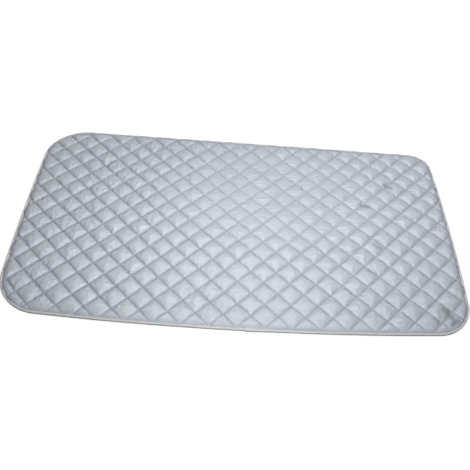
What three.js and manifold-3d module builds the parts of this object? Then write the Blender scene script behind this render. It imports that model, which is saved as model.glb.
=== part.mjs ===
// Quilted ironing pad: a soft mat that is laid on a table to iron clothes on.
// Millimetres, +Z up. The origin is the middle of the underside, +X runs along the long side and +Y
// to the back. From below, the layers are a plain backing, a sheet of wadding and a quilted top
// cover, and a folded tape is sewn over their edges all round.
import * as THREE from 'three';
import { mergeVertices } from 'three/addons/utils/BufferGeometryUtils.js';
import Module from 'manifold-3d';

// The bound pad
const padLength = 850;
const padWidth = 480;
const cornerRadius = 60;

// The layers
const coverThickness = 0.5;
const waddingThickness = 2;
const backingThickness = 0.5;

// The quilting: straight rows at 45 degrees both ways leave square diamonds, which swell to a crown.
// Two rows cross on the short middle line of the pad, at the quilt's offset from its middle.
const rowSpacing = 33.5;
const crownHeight = 3.4;
const quiltOffsetY = -7;

// The threads, pressed flat
const threadWidth = 0.6;
const threadHeight = 0.3;

// The binding tape, the seam that holds it, and the lapped join of its ends on the front edge
const bindingWidth = 9;
const tapeThickness = 0.7;
const bindingSeamMargin = 1.8;
const lapLength = 24;
const lapMiddleX = 33;

// The slope where the backing rises from the table over the lower lip of the tape
const backingSlopeWidth = 3;

// Clearances: between layers that lie face to face, and between pieces that meet edge to edge
const layerGap = 0.1;
const edgeGap = 0.3;

// Facets
const cornerSteps = 8;
const edgeArcSteps = 4;
const mergeTolerance = 0.001;
const mitreLimit = 2;

// The materials
const coatedCloth = { color: 0xb9bec8, roughness: 0.5, metalness: 0.3 };
const waddingFibre = { color: 0xe6e4de, roughness: 1, metalness: 0 };
const backingCloth = { color: 0xc9cac8, roughness: 0.95, metalness: 0 };
const bindingTape = { color: 0xb2b7ba, roughness: 0.85, metalness: 0 };
const quiltingThread = { color: 0xa9aeb8, roughness: 0.7, metalness: 0 };
const bobbinThread = { color: 0xd4d5d3, roughness: 0.7, metalness: 0 };
const bindingThread = { color: 0xa3a8ac, roughness: 0.7, metalness: 0 };

// Heights of the layers, from the table up
const backingRimBottom = tapeThickness + layerGap;
const backingRimTop = backingRimBottom + backingThickness;
const lowerBobbinBottom = backingThickness + layerGap;
const upperBobbinBottom = lowerBobbinBottom + threadHeight + layerGap;
const upperBobbinTop = upperBobbinBottom + threadHeight;
const waddingBottom = Math.max(backingRimTop, upperBobbinTop) + layerGap;
const waddingTop = waddingBottom + waddingThickness;
const coverBottom = waddingTop + layerGap;
const seamLevel = coverBottom + coverThickness;

// A thread lies in the valley of its row, so the slope of the crowns lifts its two edges
const crownSlope = crownHeight / (rowSpacing / 2);
const lowerNeedleBottom = seamLevel + crownSlope * threadWidth / 2 + layerGap;
const upperNeedleBottom = lowerNeedleBottom + threadHeight + layerGap;
const tapeUpperLip = upperNeedleBottom + threadHeight + layerGap;
const edgeHeight = tapeUpperLip + tapeThickness;

// Insets from the outline of the pad: the half-round edge of the tape, then the edge of the layers
const edgeRadius = edgeHeight / 2;
const layersInset = edgeRadius;
const quiltInset = bindingWidth + edgeGap;
const needleTurnInset = (layersInset + bindingWidth) / 2;
const backingRiseInset = bindingWidth + edgeGap;
const backingFlatInset = backingRiseInset + backingSlopeWidth;
const bobbinTurnInset = backingFlatInset + edgeGap + threadWidth;
const bindingSeamInset = bindingWidth - bindingSeamMargin;
const seamGrooveDepth = threadHeight + layerGap;
const seamGrooveHalfWidth = threadWidth / 2 + layerGap;

const wasm = await Module();
wasm.setup();

// The outline of the pad, drawn in by an inset, as seen from above and counter-clockwise. Extra
// stations can be set on the straight front side.
function outline(inset, frontStations = []) {
  const points = [];
  const corners = [[1, 1], [-1, 1], [-1, -1], [1, -1]];
  corners.forEach(([signX, signY], quarter) => {
    const centreX = signX * (padLength / 2 - cornerRadius);
    const centreY = signY * (padWidth / 2 - cornerRadius);
    for (let step = 0; step <= cornerSteps; step++) {
      const angle = (quarter + step / cornerSteps) * Math.PI / 2;
      const radius = cornerRadius - inset;
      points.push(new THREE.Vector2(
        centreX + radius * Math.cos(angle),
        centreY + radius * Math.sin(angle),
      ));
    }
    const frontSideFollows = signX < 0 && signY < 0;
    if (frontSideFollows) {
      frontStations.forEach((x) => points.push(new THREE.Vector2(x, inset - padWidth / 2)));
    }
  });
  return points;
}

// A ring of points at one height
function raise(points, z) {
  return points.map((point) => new THREE.Vector3(point.x, point.y, z));
}

// Triangles over a flat outline, facing up or down
function flatFace(contour, z, facingUp) {
  const points = raise(contour, z);
  return THREE.ShapeUtils.triangulateShape(contour, []).map((face) => {
    const corners = face.map((index) => points[index]);
    const countsUp = THREE.ShapeUtils.area(corners) > 0;
    return countsUp === facingUp ? corners : corners.reverse();
  });
}

// Triangles between two rings of equally many points
function band(lower, upper) {
  return lower.flatMap((point, index) => {
    const next = (index + 1) % lower.length;
    return [
      [point, lower[next], upper[next]],
      [point, upper[next], upper[index]],
    ];
  });
}

// Triangles over the flat ring between two outlines that each run round the pad
function flatRing(outer, inner, z) {
  const stations = [
    ...raise(outer, z).map((point) => ({ point, isOuter: true })),
    ...raise(inner, z).map((point) => ({ point, isOuter: false })),
  ];
  const bearing = ({ point }) => new THREE.Vector2(point.x, point.y).angle();
  stations.sort((a, b) => bearing(a) - bearing(b));
  let lastOuter = stations.findLast((station) => station.isOuter).point;
  let lastInner = stations.findLast((station) => !station.isOuter).point;
  return stations.map(({ point, isOuter }) => {
    const triangle = [lastOuter, point, lastInner];
    if (isOuter) lastOuter = point;
    else lastInner = point;
    return triangle;
  });
}

// A closed geometry from triangles that share their corners
function closedGeometry(triangles) {
  const geometry = new THREE.BufferGeometry().setFromPoints(triangles.flat());
  return mergeVertices(geometry, mergeTolerance);
}

// A sheet inside the outline: rings from its lower face, round its edge, to its upper face
function sheet(rings) {
  const first = rings[0];
  const last = rings[rings.length - 1];
  const triangles = flatFace(outline(first.inset), first.z, false);
  for (let index = 1; index < rings.length; index++) {
    const below = raise(outline(rings[index - 1].inset), rings[index - 1].z);
    const above = raise(outline(rings[index].inset), rings[index].z);
    triangles.push(...band(below, above));
  }
  triangles.push(...flatFace(outline(last.inset), last.z, true));
  return closedGeometry(triangles);
}

// A closed section swept all round the outline, whose stations may be lifted
function sweptRing(section, frontStations = [], lift = () => 0) {
  const rings = section.map(({ inset, z }) => outline(inset, frontStations).map(
    (point) => new THREE.Vector3(point.x, point.y, z + lift(point)),
  ));
  return closedGeometry(rings.flatMap((ring, index) => band(ring, rings[(index + 1) % rings.length])));
}

function solid(geometry) {
  const bare = geometry.clone();
  bare.deleteAttribute('normal');
  bare.deleteAttribute('uv');
  const merged = mergeVertices(bare, mergeTolerance);
  return new wasm.Manifold(new wasm.Mesh({
    numProp: 3,
    vertProperties: Float32Array.from(merged.attributes.position.array),
    triVerts: Uint32Array.from(merged.index.array),
  }));
}

function geometryOf(manifold) {
  const mesh = manifold.getMesh();
  const geometry = new THREE.BufferGeometry();
  geometry.setAttribute('position', new THREE.BufferAttribute(mesh.vertProperties, mesh.numProp));
  geometry.setIndex(new THREE.BufferAttribute(mesh.triVerts, 1));
  return geometry;
}

// The point of the quilt that lies so many rows across and so many rows along from its crossing
function quiltPoint(across, along) {
  const x = (across + along) * rowSpacing / Math.SQRT2;
  const y = quiltOffsetY + (along - across) * rowSpacing / Math.SQRT2;
  return new THREE.Vector2(x, y);
}

// Enough rows on each side of the crossing to cover the pad
const rowReach = Math.ceil((padLength + padWidth) / (2 * Math.SQRT2 * rowSpacing)) + 1;

// How far a point lies inside one side of a counter-clockwise outline
function insideBy(point, start, end) {
  const along = end.clone().sub(start).normalize();
  return along.cross(point.clone().sub(start));
}

// The part of a convex polygon that lies inside a convex outline
function clip(polygon, contour) {
  let kept = polygon;
  contour.forEach((start, index) => {
    const end = contour[(index + 1) % contour.length];
    const before = kept;
    kept = [];
    before.forEach((point, corner) => {
      const next = before[(corner + 1) % before.length];
      const here = insideBy(point, start, end);
      const there = insideBy(next, start, end);
      if (here >= 0) kept.push(point);
      if (here * there < 0) kept.push(point.clone().lerp(next, here / (here - there)));
    });
  });
  return kept;
}

// One swollen diamond, or what the binding leaves of it: a pyramid over its sides. Its height goes
// with its room, so that no side is steeper than those of a whole diamond.
function crown(cell) {
  const middle = cell.reduce((sum, point) => sum.add(point), new THREE.Vector2());
  middle.divideScalar(cell.length);
  const room = cell.map((point, index) => insideBy(middle, point, cell[(index + 1) % cell.length]));
  const top = new THREE.Vector3(middle.x, middle.y, seamLevel + crownSlope * Math.min(...room));
  const rim = raise(cell, seamLevel);
  return rim.map((point, index) => [point, rim[(index + 1) % rim.length], top]);
}

function quiltCells(contour) {
  const cells = [];
  for (let across = -rowReach; across < rowReach; across++) {
    for (let along = -rowReach; along < rowReach; along++) {
      const diamond = [
        quiltPoint(across, along),
        quiltPoint(across + 1, along),
        quiltPoint(across + 1, along + 1),
        quiltPoint(across, along + 1),
      ];
      const cell = clip(diamond, contour);
      if (cell.length > 2) cells.push(cell);
    }
  }
  return cells;
}

// The corners of the cells that lie on the outline of the quilting, in order round the pad
function quiltRim(cells, contour) {
  const onContour = (point) => contour.some((start, index) => {
    const end = contour[(index + 1) % contour.length];
    return Math.abs(insideBy(point, start, end)) < mergeTolerance;
  });
  const rim = cells.flat().filter(onContour).sort((a, b) => a.angle() - b.angle());
  return rim.filter((point, index) => point.distanceTo(rim.at(index - 1)) > mergeTolerance);
}

// The cover is flat below and under the tape, and swells between the rows of stitching
function topCover() {
  const edge = outline(layersInset);
  const contour = outline(quiltInset);
  const cells = quiltCells(contour);
  return closedGeometry([
    ...flatFace(edge, coverBottom, false),
    ...band(raise(edge, coverBottom), raise(edge, seamLevel)),
    ...flatRing(edge, quiltRim(cells, contour), seamLevel),
    ...cells.flatMap(crown),
  ]);
}

function wadding() {
  return sheet([
    { inset: layersInset, z: waddingBottom },
    { inset: layersInset, z: waddingTop },
  ]);
}

// The backing lies on the table, and its rim rises over the lower lip of the tape
function backing() {
  return sheet([
    { inset: backingFlatInset, z: 0 },
    { inset: backingRiseInset, z: backingRimBottom },
    { inset: layersInset, z: backingRimBottom },
    { inset: layersInset, z: backingRimTop },
    { inset: backingRiseInset, z: backingRimTop },
    { inset: backingFlatInset, z: backingThickness },
  ]);
}

// Points of an arc about the middle of the half-round edge, in inset and height
function edgeArc(radius, fromAngle, toAngle) {
  return Array.from({ length: edgeArcSteps + 1 }, (_, step) => {
    const angle = THREE.MathUtils.lerp(fromAngle, toAngle, step / edgeArcSteps);
    return {
      inset: edgeRadius - radius * Math.cos(angle),
      z: edgeRadius + radius * Math.sin(angle),
    };
  });
}

// The tape folded over the edge, with a groove that its lower seam has drawn in
function bindingSection() {
  const down = -Math.PI / 2;
  const up = Math.PI / 2;
  return [
    { inset: bindingWidth, z: 0 },
    { inset: bindingSeamInset + seamGrooveHalfWidth, z: 0 },
    { inset: bindingSeamInset + seamGrooveHalfWidth, z: seamGrooveDepth },
    { inset: bindingSeamInset - seamGrooveHalfWidth, z: seamGrooveDepth },
    { inset: bindingSeamInset - seamGrooveHalfWidth, z: 0 },
    ...edgeArc(edgeRadius, down, up),
    { inset: bindingWidth, z: edgeHeight },
    { inset: bindingWidth, z: tapeUpperLip },
    ...edgeArc(edgeRadius - tapeThickness, up, down),
    { inset: bindingWidth, z: tapeThickness },
  ];
}

// The end of the tape laps over its beginning, one more thickness of tape on the top and the front
function bindingLap() {
  const outerRadius = edgeRadius + tapeThickness;
  const innerRadius = edgeRadius - tapeThickness / 2;
  const tableAngle = -Math.asin(edgeRadius / outerRadius);
  const up = Math.PI / 2;
  const section = [
    ...edgeArc(outerRadius, tableAngle, up),
    { inset: bindingWidth, z: edgeHeight + tapeThickness },
    { inset: bindingWidth, z: edgeHeight - tapeThickness / 2 },
    ...edgeArc(innerRadius, up, tableAngle),
  ];
  const shape = new THREE.Shape(section.map(({ inset, z }) => new THREE.Vector2(inset, z)));
  const lap = new THREE.ExtrudeGeometry(shape, { depth: lapLength, bevelEnabled: false });
  // Inset runs to the back, height up and the depth along the front side
  const turn = new THREE.Matrix4().makeBasis(
    new THREE.Vector3(0, 1, 0),
    new THREE.Vector3(0, 0, 1),
    new THREE.Vector3(1, 0, 0),
  );
  return lap.applyMatrix4(turn).translate(lapMiddleX - lapLength / 2, -padWidth / 2, 0);
}

function edgeBinding() {
  return geometryOf(solid(sweptRing(bindingSection())).add(solid(bindingLap())));
}

// The two ends of a row where it meets an outline, or nothing where it misses
function rowEnds(start, end, contour) {
  const ends = [];
  contour.forEach((corner, index) => {
    const next = contour[(index + 1) % contour.length];
    const here = insideBy(corner, start, end);
    const there = insideBy(next, start, end);
    if (here * there >= 0) return;
    const share = here / (here - there);
    ends.push({ point: corner.clone().lerp(next, share), place: index + share });
  });
  const direction = end.clone().sub(start);
  return ends.sort((a, b) => a.point.dot(direction) - b.point.dot(direction));
}

// The corners of the outline between two places on it, the short way round
function cornersBetween(from, to, contour) {
  const count = contour.length;
  const ahead = THREE.MathUtils.euclideanModulo(to - from, count);
  const forward = ahead < count / 2;
  const span = forward ? ahead : count - ahead;
  const first = forward ? Math.ceil(from) : Math.floor(from);
  const corners = [];
  for (let step = 0; Math.abs(first - from) + step < span; step++) {
    const index = forward ? first + step : first - step;
    corners.push(contour[THREE.MathUtils.euclideanModulo(index, count)]);
  }
  return corners;
}

// One unbroken thread that sews row after row, to and fro, and turns along an outline
function stitchRoute(rows, contour) {
  const route = [];
  let last = null;
  rows.forEach(([start, end]) => {
    const ends = rowEnds(start, end, contour);
    if (ends.length < 2 || ends[0].point.distanceTo(ends[1].point) < rowSpacing) return;
    const forth = last === null || last.reversed;
    const [first, second] = forth ? ends : [...ends].reverse();
    if (last !== null) route.push(...cornersBetween(last.place, first.place, contour));
    route.push(first.point, second.point);
    last = { place: second.place, reversed: !forth };
  });
  const leastStep = 2 * threadWidth;
  return route.filter((point, index) => index === 0 || point.distanceTo(route[index - 1]) > leastStep);
}

// A flat ribbon along a route
function ribbon(route, bottom) {
  const side = (sign) => route.map((point, index) => {
    const before = point.clone().sub(route[Math.max(index - 1, 0)]).normalize();
    const after = route[Math.min(index + 1, route.length - 1)].clone().sub(point).normalize();
    const heading = before.add(after).normalize();
    const turn = index === 0 || index === route.length - 1 ? 1 : Math.abs(heading.dot(after));
    const reach = Math.min(1 / turn, mitreLimit) * threadWidth / 2;
    return new THREE.Vector2(point.x - sign * reach * heading.y, point.y + sign * reach * heading.x);
  });
  const shape = new THREE.Shape([...side(-1), ...side(1).reverse()]);
  return new THREE.ExtrudeGeometry(shape, { depth: threadHeight, bevelEnabled: false })
    .translate(0, 0, bottom);
}

// Rows that rise to the right as seen from the front, and rows that fall
const risingRows = [];
const fallingRows = [];
for (let row = -rowReach; row <= rowReach; row++) {
  risingRows.push([quiltPoint(row, -rowReach), quiltPoint(row, rowReach)]);
  fallingRows.push([quiltPoint(-rowReach, row), quiltPoint(rowReach, row)]);
}

function quiltingRows(rows, turnInset, bottom) {
  return ribbon(stitchRoute(rows, outline(turnInset)), bottom);
}

// A thread that runs round the pad along the seam of the tape
function seamThread(bottom, frontStations, lift) {
  return sweptRing([
    { inset: bindingSeamInset + threadWidth / 2, z: bottom },
    { inset: bindingSeamInset - threadWidth / 2, z: bottom },
    { inset: bindingSeamInset - threadWidth / 2, z: bottom + threadHeight },
    { inset: bindingSeamInset + threadWidth / 2, z: bottom + threadHeight },
  ], frontStations, lift);
}

// The upper thread of the tape's seam climbs over the lapped join
function bindingNeedleThread() {
  const lapReach = lapLength / 2 + edgeGap;
  const climb = tapeThickness + edgeGap;
  const stations = [-lapReach - climb, -lapReach, lapReach, lapReach + climb].map((x) => lapMiddleX + x);
  const overLap = (point) => point.y < 0 && Math.abs(point.x - lapMiddleX) < lapReach + climb / 2;
  return seamThread(edgeHeight + layerGap, stations, (point) => (overLap(point) ? tapeThickness : 0));
}

function bindingBobbinThread() {
  return seamThread(0);
}

const pad = new THREE.Group();

function addPiece(name, look, geometry) {
  const mesh = new THREE.Mesh(geometry, new THREE.MeshStandardMaterial(look));
  mesh.name = name;
  pad.add(mesh);
}

addPiece('backing', backingCloth, backing());
addPiece('wadding', waddingFibre, wadding());
addPiece('top_cover', coatedCloth, topCover());
addPiece('edge_binding', bindingTape, edgeBinding());
addPiece(
  'quilting_needle_thread_rising',
  quiltingThread,
  quiltingRows(risingRows, needleTurnInset, lowerNeedleBottom),
);
addPiece(
  'quilting_needle_thread_falling',
  quiltingThread,
  quiltingRows(fallingRows, needleTurnInset, upperNeedleBottom),
);
addPiece(
  'quilting_bobbin_thread_rising',
  bobbinThread,
  quiltingRows(risingRows, bobbinTurnInset, upperBobbinBottom),
);
addPiece(
  'quilting_bobbin_thread_falling',
  bobbinThread,
  quiltingRows(fallingRows, bobbinTurnInset, lowerBobbinBottom),
);
addPiece('binding_needle_thread', bindingThread, bindingNeedleThread());
addPiece('binding_bobbin_thread', bindingThread, bindingBobbinThread());

export default pad;
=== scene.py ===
"""Looks of a quilted ironing pad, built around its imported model. Metres, in the model's own frame."""
import math
from collections import namedtuple

import bpy
import numpy as np
from mathutils import Matrix, Vector
from mathutils.geometry import delaunay_2d_cdt


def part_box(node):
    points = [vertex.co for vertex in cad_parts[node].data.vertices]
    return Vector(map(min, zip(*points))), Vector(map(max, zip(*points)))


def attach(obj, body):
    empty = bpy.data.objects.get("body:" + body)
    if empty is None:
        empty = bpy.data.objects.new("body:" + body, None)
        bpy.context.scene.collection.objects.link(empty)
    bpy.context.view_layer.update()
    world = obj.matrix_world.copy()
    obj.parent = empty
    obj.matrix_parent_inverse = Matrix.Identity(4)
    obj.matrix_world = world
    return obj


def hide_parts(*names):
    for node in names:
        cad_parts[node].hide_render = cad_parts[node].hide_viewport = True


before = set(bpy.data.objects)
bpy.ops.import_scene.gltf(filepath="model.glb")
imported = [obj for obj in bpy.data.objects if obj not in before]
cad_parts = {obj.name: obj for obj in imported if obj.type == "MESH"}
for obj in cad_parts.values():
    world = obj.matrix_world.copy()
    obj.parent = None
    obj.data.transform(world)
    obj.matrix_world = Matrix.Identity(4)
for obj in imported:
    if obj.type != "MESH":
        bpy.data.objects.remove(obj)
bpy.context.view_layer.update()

MM = 0.001
SQRT2 = math.sqrt(2)
BODY = "root"
random = np.random.default_rng(11)

# Random waves over the pad: how many, the shortest and the longest, the seed that they are drawn with,
# the way that they run and the fan of ways about it
Waves = namedtuple("Waves", "count shortest longest seed way fan", defaults=(0.0, math.tau))

# The true outline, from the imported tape. The corners and sides of the cloth have settled a little
# off it: each corner, anticlockwise from the front right, has its sign in x and y, its radius, and how
# far it slid.
HALF_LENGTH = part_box("edge_binding")[1].x
HALF_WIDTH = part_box("edge_binding")[1].y
CORNERS = (
    (1, -1, 62.7 * MM, (-13.1 * MM, 3.7 * MM)),
    (1, 1, 43.3 * MM, (2.9 * MM, -7.1 * MM)),
    (-1, 1, 83.3 * MM, (4.5 * MM, 11.8 * MM)),
    (-1, -1, 74.3 * MM, (7.5 * MM, 13.2 * MM)),
)
BOW_BACK = 0.7 * MM
BOW_FRONT = -16.1 * MM
BOW_LEFT = -4.3 * MM
BOW_RIGHT = 6.9 * MM
UNSETTLE_ROUNDS = 3

# The tape over the edge, its seam, and the lap of its two ends on the front edge
LAYERS_INSET = HALF_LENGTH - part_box("wadding")[1].x
EDGE_RADIUS = LAYERS_INSET
RIM_ROUNDNESS = 0.58
RIM_STEPS = 12
HOLLOW_STEPS = 6
TAPE_WIDTH = 6 * MM
TAPE_THICKNESS = 0.7 * MM
TAPE_STEP = 2.5 * MM
TAPE_SEAM_INSET = 4.9 * MM
SEAM_DIMPLE = 0.18 * MM
SEAM_DIMPLE_REACH = 1.3 * MM
LAP_START = 19 * MM
LAP_LENGTH = 62 * MM
LAP_RISE = 1.1 * MM
LAP_TOP_SHARE = 0.6

# The layers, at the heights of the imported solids. The backing lies flat inside the tape, by its margin,
# and its rim is raised into the fold of the tape. The chamfer goes inwards and upwards.
LAYER_STEP = 5 * MM
FILL_SPACING = 24 * MM
COVER_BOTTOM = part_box("top_cover")[0].z
COVER_TRIM = 3.9 * MM
WADDING_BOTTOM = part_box("wadding")[0].z
WADDING_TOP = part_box("wadding")[1].z
WADDING_CLEARANCE = 0.5 * MM
WADDING_CHAMFER = (0.4 * MM, 0.5 * MM)
BACKING_THICKNESS = 0.5 * MM
BACKING_RIM = 0.8 * MM
BACKING_RIM_MARGIN = 0.3 * MM
BACKING_FLAT_MARGIN = 3 * MM

# The quilting: rows at 45 degrees both ways, two of which cross on the short middle line. The reach is
# in rows each way from there, and the steps of each diamond are bunched a little at the seams.
ROW_SPACING = 33.5 * MM
QUILT_OFFSET = -5 * MM
QUILT_STRETCH = 1.0125
QUILT_BOW = 4.4 * MM
QUILT_SWELL = 0.015
QUILT_REACH = 16
CELL_STEPS = 16
CELL_EVENNESS = 0.5
SEAM_LEVEL = 4 * MM
SEAM_WANDER = 0.4 * MM
WANDER_WAVES = [Waves(8, 60 * MM, 300 * MM, seed) for seed in (5, 6)]

# The swelling of the cloth between the seams, simulated at a larger scale. Its slack differs from
# diamond to diamond and, less, from place to place.
SIM_SCALE = 20
SIM_FRAMES = 20
SIM_PRESSURE = 14
SLACK_LEAST = 0.014
SLACK_MOST = 0.050
CELL_SLACK = 0.5
POINT_SLACK = 0.3
SLACK_WAVES = Waves(40, 6 * MM, 14 * MM, 2)
FIRST_CROWN = 1.2 * MM
FIRST_NOISE = 0.2 * MM
FIRST_WAVES = Waves(40, 4 * MM, 12 * MM, 1)

# The form of the crowns, from the simulated one: steep flanks at the seams and a low dome
SIM_CROWN = 4.4 * MM
FLANK_RISE = 2.4 * MM
FLANK_WIDTH = 2.2 * MM
DOME_RISE = 4.3 * MM

# Where the crowns are low: beside the tape of the front edge, and where the pad was pressed. The edge of
# the pressed place is a range, in shares of its reach.
FRONT_MARGIN = 22 * MM
FRONT_SHARE = 0.3
PRESSED_MIDDLE = (70 * MM, 75 * MM)
PRESSED_REACH = (250 * MM, 150 * MM)
PRESSED_EDGE = (0.55, 1.15)
PRESSED_SHARE = 0.42

# Crinkles of the cloth. Those in the patches are deeper, and those of the pressed place run level.
LOOSE_RISE = 1.2 * MM
DEEPEST_RISE = -0.2 * MM
RIDGE_LEVEL = 0.6
CRINKLE_DEPTH = 0.65 * MM
CRINKLE_WAVES = Waves(14, 12 * MM, 26 * MM, 22)
CRINKLE_LEAST = 0.4
CRINKLE_IN_PATCHES = 0.9
PRESSED_CRINKLE = 0.8 * MM
PRESSED_WAVES = Waves(10, 11 * MM, 20 * MM, 23, math.pi / 2, 0.7)
PATCH_WAVES = Waves(12, 90 * MM, 260 * MM, 21)
PATCH_EDGE = (-0.6, 1.2)

# Puckers along the rows of stitches
PUCKER_PITCH = 8 * MM
PUCKER_DEPTH = 0.7 * MM
PUCKER_REACH = 5 * MM
PUCKER_LEAST = 0.4
PUCKER_SWING = 2.5
PUCKER_SWING_WAVES = [Waves(8, 30 * MM, 90 * MM, seed) for seed in (31, 32)]
PUCKER_PATCH_WAVES = Waves(12, 60 * MM, 200 * MM, 33)
PUCKER_PATCH_EDGE = (-0.8, 1.4)

# Gathers where the cover goes under the tape, strongest in one bunch
GATHER_PITCH = 5.6 * MM
GATHER_DEPTH = 0.9 * MM
GATHER_REACH = 9 * MM
GATHER_START = (TAPE_WIDTH - 1 * MM, TAPE_WIDTH + 1.5 * MM)
GATHER_FROM_SEAM = 3 * MM
GATHER_LEAST = 0.1
GATHER_IN_PATCHES = 0.5
GATHER_BUNCH = 1.2
GATHER_BUNCH_MIDDLE = (-276 * MM, -230 * MM)
GATHER_BUNCH_REACH = 32 * MM
GATHER_GAP_WAVES = Waves(8, 14 * MM, 40 * MM, 27)
GATHER_GAP_EDGE = (-1.2, 0.6)
GATHER_SWING = 2
GATHER_SWING_WAVES = Waves(8, 40 * MM, 120 * MM, 24)
GATHER_JITTER_WAVES = Waves(6, 14 * MM, 30 * MM, 26)

# Creases from when the pad was folded, and dents, in millimetres: the two ends, the depth and the width
CREASES = (
    ((-330, 172), (-296, 36), 1.6, 2.6),
    ((-300, 44), (-274, -58), 1.6, 2.6),
    ((-112, 160), (-96, 20), 1.2, 2.6),
    ((357, -188), (349, -228), 2.0, 2.0),
    ((364, -180), (387, -218), 2.8, 8.0),
    ((370, -224), (394, -210), 2.4, 3.0),
    ((340, -206), (356, -216), 1.4, 2.0),
    ((248, 69), (276, 52), 2.2, 6.0),
    ((130, 116), (136, 98), 2.0, 2.2),
    ((307, 130), (332, 114), 2.2, 6.0),
    ((261, -41), (280, -58), 2.0, 4.0),
    ((243, -104), (265, -122), 2.0, 4.0),
    ((150, -172), (186, -192), 1.2, 2.2),
    ((100, -196), (138, -176), 1.1, 2.2),
    ((-190, -60), (-160, -84), 1.1, 2.2),
    ((20, -150), (48, -128), 1.0, 2.2),
)
CREASE_FADE = (-0.05, 0.25)
CREASE_WANDER = 1.5 * MM
CREASE_WAVES = Waves(4, 20 * MM, 60 * MM, 25)

# The threads. Each ring of a stitch has its shares of the stitch's length, arch and radius. The rows that
# run down to the right pass over the others where they cross.
STITCH_RINGS = ((0, -1.2, 0.6), (0.14, 0.1, 1), (0.5, 1, 1.08), (0.86, 0.1, 1), (1, -1.2, 0.6))
STITCH_SIDES = 5
STITCH_GAP = 0.6 * MM
QUILT_INSET = 6.8 * MM
QUILT_STITCH = 4 * MM
QUILT_THREAD = 0.22 * MM
QUILT_ARCH = 0.12 * MM
NEEDLE_LEVEL = SEAM_LEVEL + 0.18 * MM
CROSSING_LIFT = 0.4 * MM
CROSSING_REACH = 2.5 * MM
LOOP_LEVEL_RISING = 1.12 * MM
LOOP_LEVEL_FALLING = 0.74 * MM
TAPE_STITCH = 5 * MM
TAPE_THREAD = 0.25 * MM
TAPE_STITCH_LEVEL = 4.5 * MM
TAPE_STITCH_ARCH = 0.2 * MM
TAPE_LOOP_LEVEL = 0.27 * MM

# The camera
AZIMUTH = math.radians(-2.70)
ELEVATION = math.radians(48.82)
ROLL = math.radians(4.98)
DISTANCE = 1.045
TARGET = Vector((-0.0064, -0.0361, 0.0042))
FOCAL_PIXELS = 538.1
FRAME_PIXELS = 470
SENSOR = 36

# The studio. Each lamp has its place, the place that it shines at, its size, the angle of its beam in
# degrees and its power in watts.
ROOM_LIGHT = 0.07
FLOOR_REACH = 6
FLOOR_LEVEL = -0.2 * MM
FLOOR_GREY = 0.82
FLOOR_GLOW_RANGE = (0.3, 0.75)
FLOOR_GLOW = (0.5, 1)
LAMPS = {
    "front": ((0, -0.6, 0.7), (0, 0, 0), 0.3, 180, 1.1),
    "front_right": ((0.35, -0.56, 0.63), (-0.42, 0.05, 0), 0.3, 55, 0.53),
    "front_left": ((-0.33, -0.6, 0.63), (0.42, 0.05, 0), 0.3, 55, 0.52),
    "back": ((-0.1, 0.32, 1.1), (-0.1, 0.2, 0), 0.4, 90, 0.95),
    "back_right": ((0.35, 0.32, 1.1), (0.25, 0.2, 0), 0.4, 90, 1.08),
}


def settle(points):
    """Where points of the true rectangle lie, with its corners slid and its sides bowed."""
    u = points[:, 0] / HALF_LENGTH
    v = points[:, 1] / HALF_WIDTH
    moved = points.copy()
    for sign_x, sign_y, _, slide in CORNERS:
        share = (1 + sign_x * u) * (1 + sign_y * v) / 4
        moved += share[:, None] * np.array(slide)
    moved[:, 0] += (1 - v**2) * (BOW_LEFT * (1 - u) + BOW_RIGHT * (1 + u)) / 2
    moved[:, 1] += (1 - u**2) * (BOW_FRONT * (1 - v) + BOW_BACK * (1 + v)) / 2
    return moved


def unsettle(points):
    """The points of the true rectangle that settle to these."""
    true = points.copy()
    for _ in range(UNSETTLE_ROUNDS):
        true += points - settle(true)
    return true


def inset_of(points):
    """How far each point lies inside the settled outline."""
    true = unsettle(points)
    to_side = HALF_LENGTH - np.abs(true[:, 0])
    to_end = HALF_WIDTH - np.abs(true[:, 1])
    inset = np.minimum(to_side, to_end)
    for sign_x, sign_y, radius, _ in CORNERS:
        here = (sign_x * true[:, 0] > 0) & (sign_y * true[:, 1] > 0)
        here &= (to_side < radius) & (to_end < radius)
        rounded = radius - np.hypot(radius - to_side, radius - to_end)
        inset = np.where(here, rounded, inset)
    return inset


def edge_samples(step):
    """Points of the true outline, anticlockwise from the lap on the front edge.

    Returns the points, their outward normals and the way along the outline to each."""
    quarter = math.pi / 2
    places = []
    normals = []

    def outward(angle):
        return np.array([math.cos(angle), math.sin(angle)])

    def straight(start, end, normal):
        count = max(1, round(math.dist(start, end) / step))
        for k in range(count):
            places.append(start + (end - start) * k / count)
            normals.append(normal)

    def corner(middle, radius, first):
        count = max(1, round(radius * quarter / step))
        for k in range(count):
            normals.append(outward(first + quarter * k / count))
            places.append(middle + radius * normals[-1])

    angle = -quarter
    lap = np.array([LAP_START, -HALF_WIDTH])
    here = lap
    for sign_x, sign_y, radius, _ in CORNERS:
        middle = np.array([sign_x * (HALF_LENGTH - radius), sign_y * (HALF_WIDTH - radius)])
        straight(here, middle + radius * outward(angle), outward(angle))
        corner(middle, radius, angle)
        angle += quarter
        here = middle + radius * outward(angle)
    straight(here, lap, outward(angle))
    places = np.array(places)
    gone = np.linalg.norm(np.diff(places, axis=0), axis=1)
    return places, np.array(normals), np.concatenate([[0], np.cumsum(gone)])


def ripple(points, waves):
    """Smooth random heights over the pad, mostly from -1 to 1."""
    draw = np.random.default_rng(waves.seed)
    height = np.zeros(len(points))
    for _ in range(waves.count):
        angle = waves.way + draw.uniform(-waves.fan / 2, waves.fan / 2)
        phase = draw.uniform(0, math.tau)
        wavelength = draw.uniform(waves.shortest, waves.longest)
        along = points[:, 0] * math.cos(angle) + points[:, 1] * math.sin(angle)
        height += np.sin(along * math.tau / wavelength + phase)
    return height / math.sqrt(waves.count / 2)


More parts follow.
